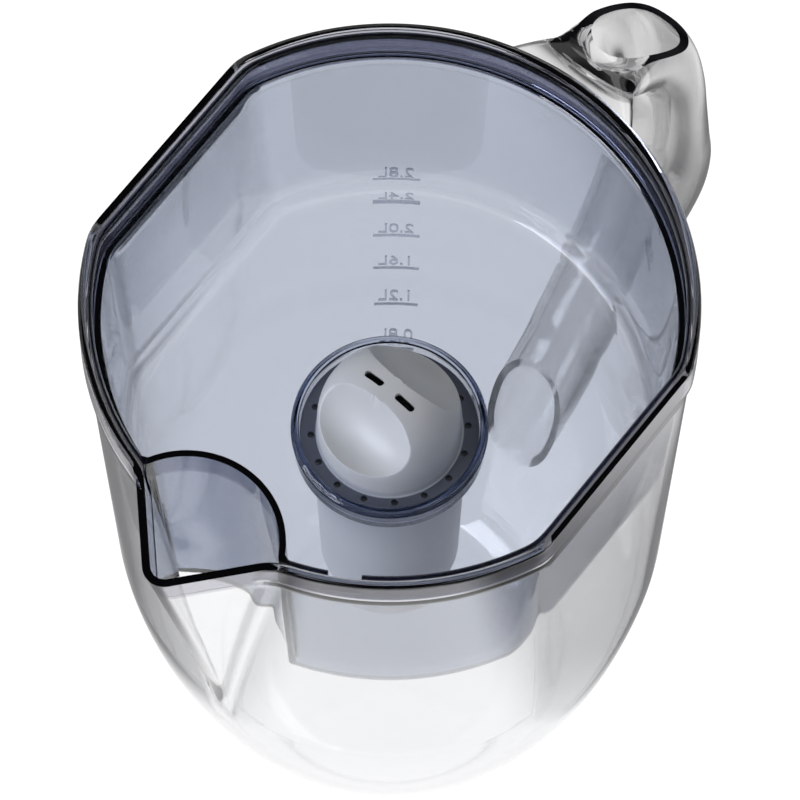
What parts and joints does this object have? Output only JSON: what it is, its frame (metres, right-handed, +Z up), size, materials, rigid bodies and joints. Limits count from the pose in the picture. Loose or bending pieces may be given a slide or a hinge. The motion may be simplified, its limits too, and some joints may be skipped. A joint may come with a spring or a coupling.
{
  "type": "water filter pitcher",
  "caption": "Clear water pitcher with a hollow handle and pouring spout, a lift-out tinted hopper and a push-in filter cartridge; no lid.",
  "frame": {"origin": "middle of the jug's flat base, on the table", "axes": "+X from the middle towards the handle, -X towards the spout, +Y towards one flat side, +Z up"},
  "size_m": [0.2506, 0.1548, 0.252],
  "materials": {
    "clear_plastic": "clear injection-moulded plastic, glossy",
    "tinted_plastic": "translucent lavender-grey plastic, glossy",
    "mark_relief": "raised moulded lines, clear",
    "white_plastic": "opaque silver-white plastic, satin",
    "seal_rubber": "soft grey sealing ring, matt",
    "mesh_white": "fine woven mesh, matt",
    "felt_white": "pressed felt, matt",
    "carbon_black": "granular activated carbon",
    "resin_amber": "granular ion-exchange resin"
  },
  "bodies": {
    "jug": {"jug": "clear_plastic", "handle": "clear_plastic", "litre_marks": "mark_relief"},
    "hopper": {"hopper": "tinted_plastic"},
    "cartridge": {"cartridge_cup": "white_plastic", "cartridge_cap": "white_plastic", "cartridge_seal": "seal_rubber", "inlet_screen": "mesh_white", "carbon_bed": "carbon_black", "divider_felt": "felt_white", "resin_bed": "resin_amber", "outlet_felt": "felt_white"}
  },
  "joints": [
    {"name": "hopper_lift", "type": "slide", "parent": "jug", "child": "hopper", "axis": [0, 0, 1], "range_m": [0, 0.2]},
    {"name": "cartridge_lift", "type": "slide", "parent": "hopper", "child": "cartridge", "axis": [0, 0, 1], "range_m": [0, 0.12]}
  ]
}
